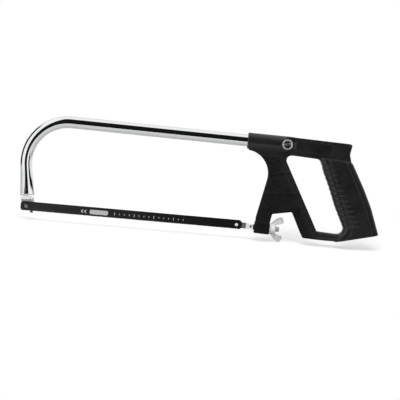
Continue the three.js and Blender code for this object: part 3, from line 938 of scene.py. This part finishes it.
def screw_field(x, y, z):
    """Dished head with a raised rim and a slot, and a plain shank."""
    off = np.hypot(x, z)
    face = -SCREW_SEAT - SCREW_HEAD_HEIGHT
    middle, half = -SCREW_SEAT - SCREW_HEAD_HEIGHT / 2, SCREW_HEAD_HEIGHT / 2
    head = rounded(off - SCREW_HEAD_RADIUS, np.abs(y - middle) - half, 0.7)
    head = cut(head, np.maximum(off - 5.8, y - face - 0.8), 0.7)
    across = np.abs(z * math.cos(SLOT_TILT) - x * math.sin(SLOT_TILT))
    head = cut(head, np.maximum(np.maximum(across - 0.9, off - 5.3), y - face - 2.0), 0.2)
    shank = np.maximum(off - 3.0, np.abs(y + 0.75) - 9.75)
    return join(head, shank)


def sleeve_nut_field(x, y, z):
    """Domed head on the far side, with a sleeve that the screw goes into."""
    off = np.hypot(x, z)
    middle, half = SCREW_SEAT + SCREW_HEAD_HEIGHT / 2, SCREW_HEAD_HEIGHT / 2
    head = rounded(off - SCREW_HEAD_RADIUS, np.abs(y - middle) - half, 1.2)
    sleeve = np.maximum(off - 4.5, np.abs(y - 6.5) - 4.5)
    return cut(join(head, sleeve), np.maximum(off - 3.3, y - 9.3), 0.2)


def build_frame_screw():
    """The screw on the near side and the sleeve nut on the far side, in one bright plate."""
    chrome = chrome_material("bright_screw_plate", 0.13)
    for name, field, low, high, node in (
        ("dished_screw", screw_field, -13, 9, "frame_screw"),
        ("sleeve_nut", sleeve_nut_field, 2, 13, "frame_screw_nut"),
    ):
        points, faces = mesh_field(field, (-7.5, low, -7.5), (7.5, high, 7.5), FITTING_GRID)
        piece(name, points, faces, TO_SCREW, "frame", node, chrome)


# ------------------------------------------------------------------ blade


def filled(name, outlines, half_thickness):
    """Points and faces of flat outlines in the XZ plane, holes included, made solid about y = 0."""
    curve = bpy.data.curves.new(name, "CURVE")
    curve.dimensions = "2D"
    curve.fill_mode = "BOTH"
    curve.extrude = half_thickness
    for points in outlines:
        spline = curve.splines.new("POLY")
        spline.points.add(len(points) - 1)
        for point, (x, z) in zip(spline.points, points):
            point.co = (x, z, 0, 1)
        spline.use_cyclic_u = True
    holder = bpy.data.objects.new(name, curve)
    mesh = bpy.data.meshes.new_from_object(holder)
    points = np.array([(v.co.x, v.co.z, v.co.y) for v in mesh.vertices])
    faces = [tuple(reversed(f.vertices)) for f in mesh.polygons]
    bpy.data.objects.remove(holder)
    bpy.data.meshes.remove(mesh)
    bpy.data.curves.remove(curve)
    return points, faces


def blade_outline():
    """The strip with rounded ends and a row of teeth that point away from the handle."""
    front, rear = -BLADE_OVERHANG, PIN_SPACING + BLADE_OVERHANG
    ends = outline([
        (rear, -BLADE_TEETH, BLADE_END_CORNER),
        (rear, BLADE_BACK, BLADE_END_CORNER),
        (front, BLADE_BACK, BLADE_END_CORNER),
        (front, -BLADE_TEETH, BLADE_END_CORNER),
    ])
    count = int((rear - front - 3 * BLADE_END_CORNER) / TOOTH_PITCH)
    start = (front + rear - count * TOOTH_PITCH) / 2
    gullet = -BLADE_TEETH + TOOTH_DEPTH
    teeth = []
    for tooth in range(count):
        x = start + tooth * TOOTH_PITCH
        teeth += [(x, gullet), (x, -BLADE_TEETH), (x + 0.22 * TOOTH_PITCH, -BLADE_TEETH + 0.1)]
        teeth.append((x + 0.8 * TOOTH_PITCH, gullet))
    return np.concatenate([ends, np.array(teeth)])


def circle(x, z, radius, sides=40):
    angles = 2 * np.pi * np.arange(sides) / sides
    return np.stack([x + radius * np.cos(angles), z + radius * np.sin(angles)], axis=1)


def plain_marks():
    """Outlines of the blade's marks: a blank label, two chevrons and a row of strokes."""
    shapes = [outline([(91, -3.2, 2), (117, -3.2, 2), (117, 3.2, 2), (91, 3.2, 2)])]
    chevron = np.array([(0, 0), (2.4, 2.2), (4.2, 2.2), (2, 0), (4.2, -2.2), (2.4, -2.2)])
    for x in (78.0, 82.6):
        shapes.append(chevron + (x, 0))
    for stroke in range(15):
        x, half = 126 + 7 * stroke, (2.0 if stroke % 4 == 0 else 1.0)
        shapes.append(np.array([(x, -half), (x + 0.8, -half), (x + 0.8, half), (x, half)]))
    return shapes


def build_blade():
    """The blade with its teeth set in a wave, and the marks printed on its near side."""
    holes = [circle(x, 0, BLADE_HOLE_RADIUS) for x in (0, PIN_SPACING)]
    points, faces = filled("strip", [blade_outline(), *holes], BLADE_HALF_THICKNESS)
    wave = np.sin(2 * np.pi * points[:, 0] / (SET_TEETH * TOOTH_PITCH))
    points[:, 1] += SET_REACH * wave * smooth(-points[:, 2], BLADE_TEETH - 1, BLADE_TEETH)
    enamel = blade_material()
    made = piece("toothed_blade", points, faces, HERE, "blade", "blade", enamel)
    made.data.shade_flat()
    points, faces = filled("marks", plain_marks(), INK_HALF_THICKNESS)
    points[:, 1] -= BLADE_HALF_THICKNESS + 1.5 * INK_HALF_THICKNESS
    marks = piece("plain_marks", points, faces, HERE, "blade", None, print_material())
    marks.data.shade_flat()


# ------------------------------------------------------------------ camera, light and floor

PICTURE_ROLL = math.radians(5.04)
PICTURE_MIDDLE = Vector((-0.2124, 0, -0.0176))
PICTURE_WIDTH = 0.568
SENSOR_WIDTH = 36
CAMERA_DISTANCE = 2.4
CAMERA_HEIGHT_ANGLE = math.radians(2.5)
KEY_PLACE = Vector((-0.1, -1.1, 1.1))
KEY_SIZE = (1.4, 1.0)
KEY_POWER = 34
FLOOR_SLOPE = math.radians(6.5)
FLOOR_SIDES = (-1.1, 0.7)
FLOOR_DEPTH = (-0.4, 0.21)
FLOOR_GAP = 0.0008
FLOOR_GLOW = 0.5


def build_camera():
    """The camera looks along +Y from a little above, and leans so that the saw falls to the right."""
    up = Vector((-math.sin(PICTURE_ROLL), 0, math.cos(PICTURE_ROLL)))
    right = Vector((math.cos(PICTURE_ROLL), 0, math.sin(PICTURE_ROLL)))
    back = Vector((0, -1, 0)) * math.cos(CAMERA_HEIGHT_ANGLE) + up * math.sin(CAMERA_HEIGHT_ANGLE)
    back.normalize()
    up = back.cross(right).normalized()
    data = bpy.data.cameras.new("camera")
    data.sensor_width = SENSOR_WIDTH
    data.lens = data.sensor_width * CAMERA_DISTANCE / PICTURE_WIDTH
    data.clip_start, data.clip_end = 0.05, 20
    camera = bpy.data.objects.new("camera", data)
    turn = Matrix((right, up, back)).transposed().to_4x4()
    camera.matrix_world = Matrix.Translation(PICTURE_MIDDLE + back * CAMERA_DISTANCE) @ turn
    bpy.context.scene.collection.objects.link(camera)
    bpy.context.scene.camera = camera


# Dark flats that stand round the saw and show in its chrome: each covers an azimuth, from
# the camera's side towards the saw's rear, and an elevation, both in degrees.
DARK_FLATS = (
    ((-24, 20), (-35, 61)),
    ((48, 74), (-35, 57)),
    ((-128, -80), (-35, 45)),
)
FLAT_EDGE = 2.5
FLAT_GLOW = 0.008


def build_world():
    """White to the camera; to everything else a bright room with dark flats in it."""
    made = Nodes(bpy.data.worlds.new("studio"))
    bpy.context.scene.world = made.owner
    made.place = made.tree.nodes.new("ShaderNodeTexCoord").outputs["Generated"]
    to_camera = made.maths("MULTIPLY", made.axis("Y"), -1)
    azimuth = made.maths("ARCTAN2", made.axis("X"), to_camera)
    elevation = made.maths("ARCSINE", made.axis("Z"), 0)
    behind = made.ramp(made.axis("Y"), 1.0, 0.82, 0.3, 0.5)
    room = made.maths("MULTIPLY", behind, made.ramp(made.axis("Z"), 0.72, 1.0, -0.3, -0.1))
    for sides, heights in DARK_FLATS:
        across, up = (
            made.ramp(
                made.maths("ABSOLUTE", made.maths("SUBTRACT", angle, math.radians((a + b) / 2)), 0),
                0,
                1,
                math.radians((b - a) / 2 - FLAT_EDGE),
                math.radians((b - a) / 2 + FLAT_EDGE),
            )
            for angle, (a, b) in ((azimuth, sides), (elevation, heights))
        )
        outside = made.maths("MAXIMUM", made.maths("MAXIMUM", across, up), FLAT_GLOW)
        room = made.maths("MULTIPLY", room, outside)
    seen = made.light_path("Is Camera Ray")
    background = made.tree.nodes["Background"]
    background.inputs["Color"].default_value = (1, 1, 1, 1)
    made.link(made.maths("MAXIMUM", room, seen), background.inputs["Strength"])


def build_key_light():
    """A softbox above and before the saw, kept out of its reflections."""
    data = bpy.data.lights.new("key_softbox", "AREA")
    data.shape = "RECTANGLE"
    data.size, data.size_y = KEY_SIZE
    data.energy = KEY_POWER
    light = bpy.data.objects.new("key_softbox", data)
    light.location = PICTURE_MIDDLE + KEY_PLACE
    light.rotation_euler = (-KEY_PLACE).to_track_quat("-Z", "Y").to_euler()
    light.visible_glossy = False
    bpy.context.scene.collection.objects.link(light)


def build_floor():
    """A white card, lit through, just under the saw's lowest point and rising away from the camera."""
    away = Vector((0, math.cos(FLOOR_SLOPE), math.sin(FLOOR_SLOPE)))
    upward = Vector((0, -math.sin(FLOOR_SLOPE), math.cos(FLOOR_SLOPE)))
    lowest = min(
        (shown.matrix_world @ vertex.co).dot(upward)
        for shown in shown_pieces()
        if shown.type == "MESH"
        for vertex in shown.data.vertices
    )
    (left, right), (near, far) = FLOOR_SIDES, FLOOR_DEPTH
    corners = [(left, near), (right, near), (right, far), (left, far)]
    points = [Vector((x, 0, 0)) + away * y + upward * (lowest - FLOOR_GAP) for x, y in corners]
    mesh = bpy.data.meshes.new("floor")
    mesh.from_pydata([tuple(p) for p in points], [], [(0, 1, 2, 3)])
    floor = bpy.data.objects.new("floor", mesh)
    bpy.context.scene.collection.objects.link(floor)
    made = new_material("white_card")
    fibre = made.noise(500, 4.0)
    card = made.mix(fibre, (0.38, 0.38, 0.38), (0.40, 0.40, 0.40))
    made.link(card, made.shader.inputs["Base Color"])
    made.set(Roughness=0.9, Specular_IOR_Level=0.1, Emission_Color=(1, 1, 1, 1))
    glow = made.maths("MULTIPLY", made.light_path("Is Camera Ray"), FLOOR_GLOW)
    made.link(glow, made.shader.inputs["Emission Strength"])
    made.bump(fibre, 0.00002, 0.3)
    mesh.materials.append(made.owner)
    floor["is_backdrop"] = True


def build_stage():
    build_camera()
    build_world()
    build_floor()
    build_key_light()
    bpy.context.scene.view_settings.view_transform = "Standard"


# ------------------------------------------------------------------ the whole saw

grey, white = (0.84, 0.84, 0.84), (0.94, 0.94, 0.93)
zinc_plate = plated_material("dull_zinc_plate", grey, white, 0.22, 2200, 0.00003)
build_handle()
build_tube()
build_front_end(zinc_plate)
build_rear_end(zinc_plate)
build_frame_screw()
build_blade()
build_stage()
